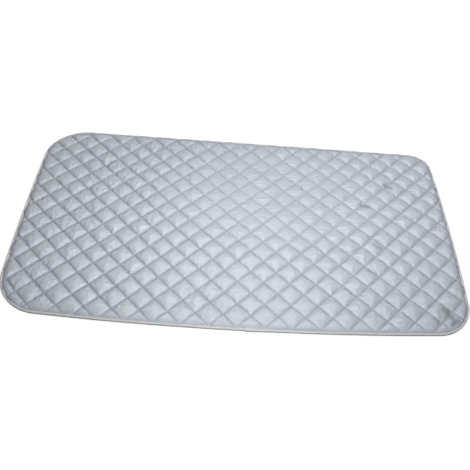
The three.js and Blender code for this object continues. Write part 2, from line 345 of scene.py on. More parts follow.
def eased(value, low, high):
    """From 0 at one value to 1 at the other, with soft ends."""
    share = np.clip((value - low) / (high - low), 0, 1)
    return share * share * (3 - 2 * share)


def quilt_place(along, across):
    """Points of the quilting's lattice, whose rows wander a little off their straight lines."""
    x = QUILT_STRETCH * (along + across) / SQRT2
    y = QUILT_OFFSET + (along - across) / SQRT2
    to_end = (x / HALF_LENGTH) ** 2
    y += QUILT_BOW * to_end + QUILT_SWELL * (1 - to_end) * np.maximum(y + HALF_WIDTH / 2, 0)
    flat = np.stack([x, y], -1)
    wander = np.stack([ripple(flat, waves) for waves in WANDER_WAVES], -1)
    return flat + SEAM_WANDER * wander


def new_object(name, points, faces, slot, *replaced):
    """A smooth-shaded piece of the pad that stands for the named solids."""
    mesh = bpy.data.meshes.new(name)
    mesh.from_pydata(np.asarray(points).tolist(), [], [list(map(int, f)) for f in faces])
    mesh.polygons.foreach_set("use_smooth", [True] * len(mesh.polygons))
    made = bpy.data.objects.new(name, mesh)
    bpy.context.scene.collection.objects.link(made)
    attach(made, BODY)
    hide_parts(*replaced)
    return made


def give_values(piece, name, values):
    """Keeps a number for each point of a piece, for its material. The points past the last have 0."""
    kept = piece.data.attributes.new(name, "FLOAT", "POINT")
    numbers = np.zeros(len(piece.data.vertices), np.float32)
    numbers[: len(values)] = values
    kept.data.foreach_set("value", numbers)


def band(first, second):
    """The faces between two loops of equal length, given by the numbers of their points."""
    return list(zip(first, np.roll(first, -1), np.roll(second, -1), second))


def flat_fill(loop):
    """Triangles over the inside of a loop of points. Returns the points added inside it, and the faces."""
    low, high = loop.min(0), loop.max(0)
    grid = np.meshgrid(*(np.arange(low[k], high[k], FILL_SPACING) for k in range(2)))
    inner = np.stack([lines.ravel() for lines in grid], -1)
    inner = inner[inset_of(inner) > inset_of(loop).max() + FILL_SPACING / 2]
    points = [Vector(p) for p in np.concatenate([loop, inner])]
    inside_only, nearness = 1, 1e-7
    outline = [list(range(len(loop)))]
    _, _, faces, _, _, _ = delaunay_2d_cdt(points, [], outline, inside_only, nearness)
    return inner, faces


def slab(name, loops, slot, replaced):
    """A closed flat piece from loops of equal length, the lowest inside one first and the top one last."""
    count = len(loops[0])
    numbers = np.arange(len(loops) * count).reshape(len(loops), count)
    points = list(np.concatenate(loops))
    faces = []
    for lower, upper in zip(numbers, numbers[1:]):
        faces += band(lower, upper)
    for rim, loop, turned in ((numbers[0], loops[0], True), (numbers[-1], loops[-1], False)):
        inner, cap = flat_fill(loop[:, :2])
        known = np.concatenate([rim, len(points) + np.arange(len(inner))])
        points += [np.append(p, loop[:, 2].mean()) for p in inner]
        faces += [known[face[::-1] if turned else face] for face in cap]
    return new_object(name, points, faces, slot, replaced)


def boundary_loop(faces):
    """The points round the edge of a mesh of faces, in order."""
    directed = {}
    for face in faces:
        for k in range(len(face)):
            directed[(int(face[k]), int(face[(k + 1) % len(face)]))] = True
    follows = {a: b for a, b in directed if (b, a) not in directed}
    loop = [next(iter(follows))]
    while follows[loop[-1]] != loop[0]:
        loop.append(follows[loop[-1]])
    if len(loop) != len(follows):
        raise ValueError("the cut edge of the cover is not one loop")
    return np.array(loop)


def swell(points, faces, sewn, slack):
    """The points of the cloth after the filling has pushed it up between its seams."""
    mesh = bpy.data.meshes.new("swelling")
    mesh.from_pydata((points * SIM_SCALE).tolist(), [], faces.tolist())
    cloth_piece = bpy.data.objects.new("swelling", mesh)
    bpy.context.scene.collection.objects.link(cloth_piece)
    held = cloth_piece.vertex_groups.new(name="sewn")
    held.add(np.nonzero(sewn)[0].tolist(), 1, "REPLACE")
    loose = cloth_piece.vertex_groups.new(name="slack")
    for share in np.unique(slack):
        loose.add(np.nonzero(slack == share)[0].tolist(), float(share), "REPLACE")
    cloth = cloth_piece.modifiers.new("cloth", "CLOTH")
    cloth.settings.quality = 5
    cloth.settings.mass = 0.3
    cloth.settings.vertex_group_mass = "sewn"
    cloth.settings.tension_stiffness = 15
    cloth.settings.compression_stiffness = 15
    cloth.settings.shear_stiffness = 6
    cloth.settings.bending_stiffness = 0.03
    cloth.settings.vertex_group_shrink = "slack"
    cloth.settings.shrink_min = -SLACK_LEAST
    cloth.settings.shrink_max = -SLACK_MOST
    cloth.settings.use_pressure = True
    cloth.settings.uniform_pressure_force = SIM_PRESSURE
    cloth.settings.effector_weights.gravity = 0
    cloth.collision_settings.use_collision = False
    cloth.point_cache.frame_start = 1
    cloth.point_cache.frame_end = SIM_FRAMES
    for step in range(1, SIM_FRAMES + 1):
        bpy.context.scene.frame_set(step)
    swollen = cloth_piece.evaluated_get(bpy.context.evaluated_depsgraph_get())
    moved = np.zeros(len(points) * 3)
    swollen.data.vertices.foreach_get("co", moved)
    bpy.data.objects.remove(cloth_piece)
    bpy.data.meshes.remove(mesh)
    bpy.context.scene.frame_set(1)
    return moved.reshape(-1, 3) / SIM_SCALE


def fill_out(rise):
    """The rise of the cloth where the filling holds it up to a low dome with steep flanks at the seams."""
    most = 0.99
    share = np.clip(rise / SIM_CROWN, 0, most)
    from_seam = (1 - np.sqrt(1 - share)) * ROW_SPACING / 2
    return FLANK_RISE * (1 - np.exp(-from_seam / FLANK_WIDTH)) + DOME_RISE * share


def pressed_share(points):
    """1 where the pad was pressed flat, and 0 away from there."""
    off = (points[:, :2] - np.array(PRESSED_MIDDLE)) / np.array(PRESSED_REACH)
    return 1 - eased(np.hypot(off[:, 0], off[:, 1]), *PRESSED_EDGE)


def lower_crowns(points):
    """How much of its rise each point of the cover keeps."""
    from_front = unsettle(points[:, :2])[:, 1] + HALF_WIDTH - TAPE_WIDTH
    kept = FRONT_SHARE + (1 - FRONT_SHARE) * eased(from_front, 0, FRONT_MARGIN)
    return kept * (1 - PRESSED_SHARE * pressed_share(points))


def pucker(points, from_rows, along_rows):
    """The heights of the small gathers that each row of stitches pulls into the cloth on both sides."""
    height = np.zeros(len(points))
    for away, along, waves in zip(from_rows, along_rows, PUCKER_SWING_WAVES):
        swing = PUCKER_SWING * ripple(points, waves)
        height += np.sin(along * math.tau / PUCKER_PITCH + swing) * np.exp(-away / PUCKER_REACH)
    patches = eased(ripple(points, PUCKER_PATCH_WAVES), *PUCKER_PATCH_EDGE)
    return PUCKER_DEPTH * (PUCKER_LEAST + patches) * height


def handled_patches(points):
    """From 0 to 1, where the cloth is more crumpled than elsewhere."""
    return eased(ripple(points, PATCH_WAVES), *PATCH_EDGE)


def wrinkle(points):
    """The heights of the crinkles, creases and dents in the cover."""
    pressed = pressed_share(points)
    deeper = CRINKLE_LEAST + CRINKLE_IN_PATCHES * handled_patches(points)
    crinkle = RIDGE_LEVEL - np.abs(ripple(points, CRINKLE_WAVES))
    level = RIDGE_LEVEL - np.abs(ripple(points, PRESSED_WAVES))
    height = CRINKLE_DEPTH * deeper * (1 - pressed) * crinkle
    height += PRESSED_CRINKLE * pressed * level
    return height - dents(points)


def gathers(points, inset):
    """How strong the small folds are where the cover goes under the tape, and the angle of their wave."""
    true = unsettle(points[:, :2])
    by_end = HALF_WIDTH - np.abs(true[:, 1]) < HALF_LENGTH - np.abs(true[:, 0])
    way = np.where(by_end, true[:, 0], true[:, 1])
    to_bunch = np.hypot(*(points[:, :2] - np.array(GATHER_BUNCH_MIDDLE)).T)
    strength = GATHER_LEAST + GATHER_IN_PATCHES * handled_patches(points)
    strength += GATHER_BUNCH * np.exp(-((to_bunch / GATHER_BUNCH_REACH) ** 2))
    strength *= eased(ripple(points, GATHER_GAP_WAVES), *GATHER_GAP_EDGE)
    fade = np.exp(-np.maximum(inset - TAPE_WIDTH, 0) / GATHER_REACH) * eased(inset, *GATHER_START)
    swing = GATHER_SWING * ripple(points, GATHER_SWING_WAVES) + ripple(points, GATHER_JITTER_WAVES)
    return strength * fade, way * math.tau / GATHER_PITCH + swing


def dents(points):
    """How deep the creases and dents are."""
    total = np.zeros(len(points))
    wander = CREASE_WANDER * ripple(points, CREASE_WAVES)
    for start, end, depth, width in CREASES:
        start, end = np.array(start) * MM, np.array(end) * MM
        length = np.linalg.norm(end - start)
        along = (end - start) / length
        off = points[:, :2] - start
        share = off @ along / length
        aside = off[:, 0] * along[1] - off[:, 1] * along[0] + wander
        taper = eased(share, *CREASE_FADE) * eased(1 - share, *CREASE_FADE)
        total += depth * MM * taper * np.exp(-np.abs(aside) / (width * MM))
    return total


def lattice_lines():
    """The lines of the cover's lattice: the diamond that each is in, its share of it and its place."""
    steps = np.arange(-QUILT_REACH * CELL_STEPS, QUILT_REACH * CELL_STEPS + 1)
    cell = steps // CELL_STEPS
    part = (steps % CELL_STEPS) / CELL_STEPS
    bunched = (1 - np.cos(np.pi * part)) / 2
    return cell, part, (cell + CELL_EVENNESS * part + (1 - CELL_EVENNESS) * bunched) * ROW_SPACING


def trimmed_lattice(line):
    """The flat cover inside its trimmed edge: its points, their rows and columns, and its faces."""
    side = len(line)
    row, column = (m.ravel() for m in np.meshgrid(np.arange(side), np.arange(side), indexing="ij"))
    flat = quilt_place(line[row], line[column])
    index = np.arange(side * side).reshape(side, side)
    faces = np.stack([index[:-1, :-1], index[:-1, 1:], index[1:, 1:], index[1:, :-1]], -1).reshape(-1, 4)
    faces = faces[(inset_of(flat)[faces] > COVER_TRIM).all(1)]
    used, renumbered = np.unique(faces, return_inverse=True)
    return flat[used], row[used], column[used], renumbered.reshape(-1, 4)


def swollen_cover(flat, row, column, faces, hill, sewn):
    """The points of the cover, pushed up between the seams, where each diamond has its own slack."""
    cells = 2 * QUILT_REACH + 2
    cell_slack = random.uniform(0, 1, (cells, cells)).round(2)
    slack = CELL_SLACK * cell_slack[row // CELL_STEPS, column // CELL_STEPS]
    slack += POINT_SLACK * ripple(flat, SLACK_WAVES)
    slack = slack.clip(0, 1).round(2)
    height = SEAM_LEVEL + np.where(sewn, 0, FIRST_CROWN * hill)
    height += np.where(sewn, 0, FIRST_NOISE * ripple(flat, FIRST_WAVES))
    return swell(np.column_stack([flat, height]), faces, sewn, slack)


def pulled_to_trim(edge):
    """Points near the cut edge of the cover, moved straight onto it."""
    reach = 0.5 * MM
    slopes = [inset_of(edge + reach * np.array(way)) for way in ((1, 0), (-1, 0), (0, 1), (0, -1))]
    inward = np.stack([slopes[0] - slopes[1], slopes[2] - slopes[3]], -1)
    inward /= np.linalg.norm(inward, axis=1)[:, None]
    return edge - inward * (inset_of(edge) - COVER_TRIM)[:, None]


def make_cover():
    """The quilted cover, with the filling of its crowns."""
    cell, part, line = lattice_lines()
    flat, row, column, faces = trimmed_lattice(line)
    inset = inset_of(flat)
    sewn = (part[row] == 0) | (part[column] == 0) | (inset < TAPE_WIDTH)
    hill = np.sin(np.pi * part[row]) * np.sin(np.pi * part[column])
    points = swollen_cover(flat, row, column, faces, hill, sewn)

    place = line / ROW_SPACING - cell
    from_line = np.minimum(place, 1 - place) * ROW_SPACING
    from_rows = (from_line[row], from_line[column])
    from_seam = np.minimum(*from_rows)
    rise = fill_out(points[:, 2] - SEAM_LEVEL) * lower_crowns(points)
    loose = np.where(sewn, 0, eased(rise, 0, LOOSE_RISE))
    rise += loose * (wrinkle(points) + pucker(points, from_rows, (line[column], line[row])))
    gathered, turn = gathers(points, inset)
    folds = GATHER_DEPTH * gathered * (1 + np.sin(turn)) / 2
    rise += np.where(sewn, 0, eased(from_seam, 0, GATHER_FROM_SEAM)) * folds
    points[:, 2] = SEAM_LEVEL + np.maximum(rise, DEEPEST_RISE)

    rim = boundary_loop(faces)
    points[rim, :2] = pulled_to_trim(points[rim, :2])
    inner, cap = flat_fill(points[rim, :2])
    under = np.concatenate([points[rim, :2], inner])
    under = np.column_stack([under, np.full(len(under), COVER_BOTTOM)])
    lower = len(points) + np.arange(len(under))
    closed = list(faces) + band(lower[: len(rim)], rim) + [lower[face[::-1]] for face in cap]
    points = np.concatenate([points, under])
    cover = new_object("quilted_cover", points, closed, "coated_cloth", "top_cover")
    give_values(cover, "from_seam", from_seam)
    give_values(cover, "pressed", pressed_share(points))
    give_values(cover, "dent", dents(points))
    give_values(cover, "gathered", gathered)
    give_values(cover, "turn", turn)
    give_values(cover, "from_tape", inset_of(points[:, :2]) - TAPE_WIDTH)
    return cover


def tube_stitches(name, starts, ends, radius, arch, slot, replaced):
    """Short stitches of thread, each an arched tube whose ends go into the cloth."""
    rings, sides = len(STITCH_RINGS), STITCH_SIDES
    along = ends - starts
    along /= np.linalg.norm(along, axis=1)[:, None]
    aside = np.stack([-along[:, 1], along[:, 0], np.zeros(len(along))], -1)
    points = np.zeros((len(starts), rings, sides, 3))
    for k, (share, lift, girth) in enumerate(STITCH_RINGS):
        middle = starts + (ends - starts) * share + np.array([0, 0, lift * arch])
        for s in range(sides):
            angle = math.tau * s / sides
            spoke = aside * math.cos(angle) + np.array([0, 0, math.sin(angle)])
            points[:, k, s] = middle + spoke * radius * girth
    pattern = [tuple(range(sides)), tuple(range(rings * sides - 1, (rings - 1) * sides - 1, -1))]
    for k in range(rings - 1):
        for s in range(sides):
            t = (s + 1) % sides
            pattern.append((k * sides + s, (k + 1) * sides + s, (k + 1) * sides + t, k * sides + t))
    faces = []
    for base in range(0, len(starts) * rings * sides, rings * sides):
        faces += [tuple(base + v for v in f) for f in pattern]
    return new_object(name, points.reshape(-1, 3), faces, slot, replaced)


def quilt_stitches(name, rising, level, crossing_lift, slot, replaced):
    """The stitches of all the rows that run one way."""
    reach = QUILT_REACH * ROW_SPACING
    starts = []
    ends = []
    for row in range(-QUILT_REACH, QUILT_REACH + 1):
        phase = random.uniform(0, QUILT_STITCH)
        first = np.arange(-reach, reach, QUILT_STITCH) + phase
        fixed = np.full(len(first), row * ROW_SPACING)
        pair = []
        for way in (first, first + QUILT_STITCH - STITCH_GAP):
            place = quilt_place(way, fixed) if rising else quilt_place(fixed, way)
            to_crossing = np.abs(way / ROW_SPACING - np.round(way / ROW_SPACING)) * ROW_SPACING
            height = level + crossing_lift * np.exp(-((to_crossing / CROSSING_REACH) ** 2))
            pair.append(np.column_stack([place, height]))
        inside = np.minimum(*(inset_of(ends_of[:, :2]) for ends_of in pair)) > QUILT_INSET
        starts.append(pair[0][inside])
        ends.append(pair[1][inside])
    starts, ends = np.concatenate(starts), np.concatenate(ends)
    return tube_stitches(name, starts, ends, QUILT_THREAD, QUILT_ARCH, slot, replaced)


def tape_profile():
    """The section of the folded tape: insets from the edge and heights, worked out in millimetres.

    It runs from the upper lip round the edge to the lower lip and back inside the fold. Also returns how
    many of its points are on the outside."""
    lip, seam = TAPE_WIDTH / MM, TAPE_SEAM_INSET / MM
    middle, thickness = EDGE_RADIUS / MM, TAPE_THICKNESS / MM
    outer = [
        (lip, 4.25), (lip - 0.05, 4.5), (lip - 0.25, 4.64), (seam + 0.5, 4.5),
        (seam, 4.3), (seam - 0.5, 4.6), (seam - 1.1, 5.1), (seam - 1.6, 5.45),
    ]
    for k in range(RIM_STEPS + 1):
        angle = math.pi / 2 + math.pi * k / RIM_STEPS
        turn = [math.copysign(abs(f) ** RIM_ROUNDNESS, f) for f in (math.cos(angle), math.sin(angle))]
        outer.append((middle + middle * turn[0], middle + middle * turn[1]))
    outer += [
        (seam - 1.3, 0), (seam - 0.5, 0.05), (seam, 0.3), (seam + 0.5, 0.05),
        (lip - 0.25, 0), (lip - 0.05, 0.15), (lip, 0.4),
    ]
    inner = [(lip - 0.2, 0.62), (seam - 0.5, thickness)]
    for k in range(HOLLOW_STEPS + 1):
        angle = -math.pi / 2 - math.pi * k / HOLLOW_STEPS
        inner.append([middle + (middle - thickness) * f for f in (math.cos(angle), math.sin(angle))])
    inner += [(seam - 1, 4.45), (seam, 4.06), (lip - 0.2, 4.08)]
    return np.array([*outer, *inner]) * MM, len(outer)


def make_tape():
    """The binding: one tape folded over the edge all round, with its end lapped over its start."""
    places, normals, way = edge_samples(TAPE_STEP)
    profile, outer_count = tape_profile()
    count, ring = len(places), len(profile)
    lap = LAP_RISE * eased(1 - way / LAP_LENGTH, 0, 1)
    stitch = -np.cos(way * math.tau / TAPE_STITCH)
    points = np.zeros((count, ring, 3))
    for k, (inset, height) in enumerate(profile):
        push = lap * (1 - np.clip(inset / (2 * EDGE_RADIUS), 0, 1))
        points[:, k, :2] = settle(places - normals * (inset - push)[:, None])
        points[:, k, 2] = height
        if k < outer_count and height > EDGE_RADIUS:
            near_seam = math.exp(-(((inset - TAPE_SEAM_INSET) / SEAM_DIMPLE_REACH) ** 2))
            points[:, k, 2] += LAP_TOP_SHARE * lap + SEAM_DIMPLE * near_seam * stitch
    numbers = np.arange(count * ring).reshape(count, ring)
    faces = []
    for i in range(count):
        faces += band(numbers[i], numbers[(i + 1) % count])
    tape = new_object("binding_tape", points.reshape(-1, 3), faces, "binding_tape", "edge_binding")
    across = np.concatenate([[0], np.cumsum(np.linalg.norm(np.diff(profile, axis=0), axis=1))])
    give_values(tape, "along", np.repeat(way, ring))
    give_values(tape, "across", np.tile(across, count))
    give_values(tape, "inset", np.tile(profile[:, 0], count))
    return tape


def tape_stitches(name, level, arch, slot, replaced):
    """The seam that holds the tape, on one face of it."""
    places, normals, _ = edge_samples(TAPE_STITCH)
    line = settle(places - normals * TAPE_SEAM_INSET)
    line = np.column_stack([line, np.full(len(line), level)])
    ends = line + (np.roll(line, -1, axis=0) - line) * (1 - STITCH_GAP / TAPE_STITCH)
    return tube_stitches(name, line, ends, TAPE_THREAD, arch, slot, replaced)


def layer_loop(inset, height):
    """A loop round the pad at an inset and a height."""
    places, normals, _ = edge_samples(LAYER_STEP)
    flat = settle(places - normals * inset)
    return np.column_stack([flat, np.full(len(flat), height)])


def make_wadding():
    """The wadding sheet, whose rims are chamfered."""
    inset = LAYERS_INSET + WADDING_CLEARANCE
    inward, upward = WADDING_CHAMFER
    loops = [
        layer_loop(inset + inward, WADDING_BOTTOM),
        layer_loop(inset, WADDING_BOTTOM + upward),
        layer_loop(inset, WADDING_TOP - upward),
        layer_loop(inset + inward, WADDING_TOP),
    ]
    wadding = slab("wadding_sheet", loops, "wadding", "wadding")
    return wadding


def make_backing():
    """The backing cloth, which lies on the floor and rises into the tape at its rim."""
    lower = (
        (TAPE_WIDTH + BACKING_FLAT_MARGIN, 0),
        (TAPE_WIDTH + BACKING_RIM_MARGIN, BACKING_RIM),
        (LAYERS_INSET, BACKING_RIM),
    )
    loops = [layer_loop(inset, height) for inset, height in lower]
    loops += [layer_loop(inset, height + BACKING_THICKNESS) for inset, height in reversed(lower)]
    backing = slab("backing_cloth", loops, "backing_cloth", "backing")
    loop = layer_loop(LAYERS_INSET, 0)[:, :2]
    return backing


def new_material(name):
    """A material with its node tree, its main shader and the surface's own coordinates."""
    made = bpy.data.materials.new(name)
    made.use_nodes = True
    tree = made.node_tree
    where = tree.nodes.new("ShaderNodeTexCoord").outputs["Object"]
    return made, tree, tree.nodes["Principled BSDF"], where


def add_node(tree, kind, links=None, settings=None, **values):
    """One node, with sockets joined by links, settings on the node and values on its sockets."""
    made = tree.nodes.new(kind)
    for name, value in (settings or {}).items():
        setattr(made, name, value)
    for name, value in values.items():
        made.inputs[name.replace("_", " ")].default_value = value
    for name, socket in (links or {}).items():
        tree.links.new(socket, made.inputs[name])
    return made


def arithmetic(tree, operation, *terms):
    """A Math node of sockets and numbers."""
    made = add_node(tree, "ShaderNodeMath", settings={"operation": operation})
    for socket, term in zip(made.inputs, terms):
        if isinstance(term, (int, float)):
            socket.default_value = term
        else:
            tree.links.new(term, socket)
    return made.outputs[0]


def blend_colour(tree, share, first, second):
    """A mix of two colours by a socket from 0 to 1."""
    made = add_node(tree, "ShaderNodeMix", {"Factor": share}, {"data_type": "RGBA"})
    for socket, colour in ((made.inputs[6], first), (made.inputs[7], second)):
        if isinstance(colour, tuple):
            socket.default_value = (*colour, 1)
        else:
            tree.links.new(colour, socket)
    return made.outputs[2]


def attribute(tree, name):
    """The number that a piece keeps for each of its points."""
    return add_node(tree, "ShaderNodeAttribute", settings={"attribute_name": name}).outputs["Fac"]


def spread(tree, value, known, wanted):
    """A socket moved from one range to another, and kept inside it."""
    ends = {"From_Min": known[0], "From_Max": known[1], "To_Min": wanted[0], "To_Max": wanted[1]}
    return add_node(tree, "ShaderNodeMapRange", {"Value": value}, **ends).outputs[0]


def noise(tree, where, *, scale, detail, distortion=0):
    """Random values from 0 to 1, with so many features to the metre."""
    sizes = {"Scale": scale, "Detail": detail, "Distortion": distortion}
    return add_node(tree, "ShaderNodeTexNoise", {"Vector": where}, **sizes).outputs[0]


def bumps(tree, height, *, strength, distance, normal=None):
    """A normal for a surface that is rough by this height."""
    links = {"Height": height}
    if normal is not None:
        links["Normal"] = normal
    return add_node(tree, "ShaderNodeBump", links, Strength=strength, Distance=distance).outputs[0]


def weave_height(tree, warp, weft, pitch):
    """Heights of a plain weave over two coordinates in metres."""
    turn = math.tau / (2 * pitch)
    over = arithmetic(tree, "SINE", arithmetic(tree, "MULTIPLY", warp, turn))
    under = arithmetic(tree, "SINE", arithmetic(tree, "MULTIPLY", weft, turn))
    return arithmetic(tree, "MULTIPLY", over, under)


def crease_height(tree, where, scale):
    """Heights with sharp lines in them, like the fine creases of a handled cloth."""
    lines = noise(tree, where, scale=scale, detail=1.5, distortion=0.8)
    from_middle = arithmetic(tree, "SUBTRACT", lines, 0.5)
    return arithmetic(tree, "ABSOLUTE", from_middle)


def cover_shade(tree, across, groove, pressed):
    """How much painted shade the cover has in its seams, beside the tape, in its dents and in its gathers,
    from 0 to 1.
    """
    # Painted shade in the seams, stronger towards the left end and weaker where the pad was pressed
    seam_shade = spread(tree, across, (-0.2, 0.25), (0.6, 0.36))
    seam_shade = arithmetic(tree, "MULTIPLY", seam_shade, spread(tree, pressed, (0, 1), (1, 0.55)))
    seam_shade = arithmetic(tree, "MULTIPLY", groove, seam_shade)
    # Painted shade in the hollow of the cover beside the tape
    valley_shade = spread(tree, attribute(tree, "from_tape"), (0.5 * MM, 8 * MM), (0.4, 0))
    # Painted shade in the creases and dents
    dent = spread(tree, attribute(tree, "dent"), (0.3 * MM, 2 * MM), (0, 0.8))
    # Painted shade in the grooves between the gathers
    fold = spread(tree, arithmetic(tree, "SINE", attribute(tree, "turn")), (-0.8, 0.3), (1, 0))
    strength = spread(tree, attribute(tree, "gathered"), (0.15, 0.9), (0, 0.85))
    shade = arithmetic(tree, "MULTIPLY", fold, strength)
    for other in (seam_shade, valley_shade, dent):
        shade = arithmetic(tree, "MAXIMUM", shade, other)
    return shade


def cover_creases(tree, where, split, pressed):
    """The heights of the fine creases: level ones where the pad was pressed, and free ones elsewhere."""
    to_back_left = arithmetic(tree, "SUBTRACT", split["Y"], split["X"])
    handled = spread(tree, to_back_left, (0.1, 0.4), (0.75, 1.5))
    free = arithmetic(tree, "MULTIPLY", crease_height(tree, where, scale=70), handled)
    stretched = add_node(tree, "ShaderNodeMapping", {"Vector": where}, Scale=(0.35, 1.5, 1)).outputs[0]
    level = arithmetic(tree, "MULTIPLY", crease_height(tree, stretched, scale=80), 0.75)
    free = arithmetic(tree, "MULTIPLY", free, arithmetic(tree, "SUBTRACT", 1, pressed))
    return arithmetic(tree, "ADD", free, arithmetic(tree, "MULTIPLY", level, pressed))


def coated_cloth():
    """The silver-coated cover: mottled, with painted shade in its seams, dents and gathers and beside the
    tape, and worn paler on its crowns.
    """
    deep, pale = (0.56, 0.60, 0.665), (0.63, 0.665, 0.73)
    spots, grains = (0.52, 0.565, 0.64), (0.45, 0.48, 0.54)
    # dark is the colour of the painted shade; the pale one beside it is for wear on the crowns
    dark, wear_and_painted_highlight = (0.26, 0.285, 0.33), (0.66, 0.69, 0.73)
    made, tree, shader, where = new_material("coated_cloth")
    split = add_node(tree, "ShaderNodeSeparateXYZ", {"Vector": where}).outputs
    broad = noise(tree, where, scale=14, detail=3)
    mottle = noise(tree, where, scale=120, detail=5)
    speckle = noise(tree, where, scale=420, detail=2)
    from_seam = attribute(tree, "from_seam")
    pressed = attribute(tree, "pressed")
    groove = spread(tree, from_seam, (0.5 * MM, 2.9 * MM), (1, 0))
    crown = spread(tree, from_seam, (5 * MM, 15 * MM), (0, 1))
    base = blend_colour(tree, broad, deep, pale)
    base = blend_colour(tree, spread(tree, mottle, (0.35, 0.7), (0, 0.35)), base, spots)
    base = blend_colour(tree, spread(tree, speckle, (0.35, 0.65), (0, 0.3)), base, grains)
    # Painted shade: the cover darkened towards dark in its seams, dents and gathers and beside the tape
    base = blend_colour(tree, cover_shade(tree, split["X"], groove, pressed), base, dark)
    # Wear: paler in patches on the crowns
    worn = arithmetic(tree, "MULTIPLY", crown, spread(tree, mottle, (0.5, 0.75), (0, 0.4)))
    base = blend_colour(tree, worn, base, wear_and_painted_highlight)
    tree.links.new(base, shader.inputs["Base Color"])
    shader.inputs["Metallic"].default_value = 0.04
    shader.inputs["Specular IOR Level"].default_value = 0.5
    rough = spread(tree, mottle, (0.3, 0.7), (0.32, 0.43))
    rough = arithmetic(tree, "ADD", rough, arithmetic(tree, "MULTIPLY", groove, 0.1))
    tree.links.new(rough, shader.inputs["Roughness"])
    weave = weave_height(tree, split["X"], split["Y"], pitch=0.45 * MM)
    grain = arithmetic(tree, "ADD", weave, arithmetic(tree, "MULTIPLY", mottle, 2))
    grain = bumps(tree, grain, strength=0.25, distance=0.06 * MM)
    creases = cover_creases(tree, where, split, pressed)
    creased = bumps(tree, creases, strength=1, distance=3.4 * MM, normal=grain)
    tree.links.new(creased, shader.inputs["Normal"])
    return made


def tape_cloth():
    """The woven tape: painted shade in dashes at its seam, a painted highlight along its top and a painted
    shadow low on its outer side.
    """
    deep, pale, fibres = (0.58, 0.59, 0.605), (0.66, 0.665, 0.675), (0.48, 0.495, 0.515)
    # dark is the colour of the painted shade at the seam
    lip, dark = (0.48, 0.515, 0.58), (0.15, 0.17, 0.21)
    wear_and_painted_highlight, painted_shadow = (0.78, 0.785, 0.80), (0.10, 0.098, 0.095)
    made, tree, shader, where = new_material("tape_cloth")
    along, inset = attribute(tree, "along"), attribute(tree, "inset")
    height = add_node(tree, "ShaderNodeSeparateXYZ", {"Vector": where}).outputs["Z"]
    fibre = noise(tree, where, scale=300, detail=4)
    broad = noise(tree, where, scale=25, detail=2)
    base = blend_colour(tree, broad, deep, pale)
    base = blend_colour(tree, spread(tree, fibre, (0.4, 0.75), (0, 0.4)), base, fibres)
    # Inside the seam the tape is blue-grey like the cover, and darker as painted shade of the hollow beside
    # it
    to_lip = spread(tree, inset, (TAPE_SEAM_INSET, TAPE_SEAM_INSET + 0.6 * MM), (0, 0.8))
    base = blend_colour(tree, to_lip, base, lip)
    # Painted shade in the seam's groove, in dashes that are darkest where the seam dips at the needle holes
    turn = arithmetic(tree, "MULTIPLY", along, math.tau / TAPE_STITCH)
    dash = spread(tree, arithmetic(tree, "COSINE", turn), (-0.3, 0.8), (0.15, 1))
    dash = arithmetic(tree, "MULTIPLY", dash, spread(tree, broad, (0.4, 0.6), (0.35, 0.95)))
    from_seam = arithmetic(tree, "ABSOLUTE", arithmetic(tree, "SUBTRACT", inset, TAPE_SEAM_INSET))
    seam_shade = spread(tree, from_seam, (0.5 * MM, 1.4 * MM), (1, 0))
    base = blend_colour(tree, arithmetic(tree, "MULTIPLY", seam_shade, dash), base, dark)
    # Painted highlight: paler along the top of the rolled rim
    base = blend_colour(tree, spread(tree, height, (4.7 * MM, 5.3 * MM), (0, 0.6)), base, wear_and_painted_highlight)
    # Painted shadow: the outer side of the rim darkened low down, towards the floor
    low = spread(tree, height, (2.2 * MM, 4.7 * MM), (0.92, 0))
    outside = spread(tree, inset, (1.6 * MM, 3.2 * MM), (1, 0))
    base = blend_colour(tree, arithmetic(tree, "MULTIPLY", low, outside), base, painted_shadow)
    tree.links.new(base, shader.inputs["Base Color"])
    tree.links.new(spread(tree, fibre, (0.3, 0.7), (0.72, 0.9)), shader.inputs["Roughness"])
    shader.inputs["Sheen Weight"].default_value = 0.15
    weave = weave_height(tree, along, attribute(tree, "across"), pitch=0.5 * MM)
    grain = bumps(tree, arithmetic(tree, "ADD", weave, fibre), strength=0.4, distance=0.1 * MM)
    tree.links.new(grain, shader.inputs["Normal"])
    return made


def thread(name, dark, pale):
    """A twisted thread between two colours."""
    made, tree, shader, where = new_material(name)
    twist = noise(tree, where, scale=2500, detail=2)
    tree.links.new(blend_colour(tree, twist, dark, pale), shader.inputs["Base Color"])
    tree.links.new(spread(tree, twist, (0.3, 0.7), (0.45, 0.65)), shader.inputs["Roughness"])
    tree.links.new(bumps(tree, twist, strength=0.4, distance=0.08 * MM), shader.inputs["Normal"])
    return made


def plain_cloth(name, pitch, dark, pale):
    """A matt plain weave between two colours."""
    made, tree, shader, where = new_material(name)
    split = add_node(tree, "ShaderNodeSeparateXYZ", {"Vector": where}).outputs
    weave = weave_height(tree, split["X"], split["Y"], pitch)
    slub = noise(tree, where, scale=180, detail=4)
    base = blend_colour(tree, slub, dark, pale)
    # Painted shade: darker where the weave dips
    base = blend_colour(tree, spread(tree, weave, (-1, 1), (0.25, 0)), base, dark)
    tree.links.new(base, shader.inputs["Base Color"])
    tree.links.new(spread(tree, slub, (0.3, 0.7), (0.82, 0.95)), shader.inputs["Roughness"])
    grain = bumps(tree, arithmetic(tree, "ADD", weave, slub), strength=0.5, distance=0.12 * MM)
    tree.links.new(grain, shader.inputs["Normal"])
    return made


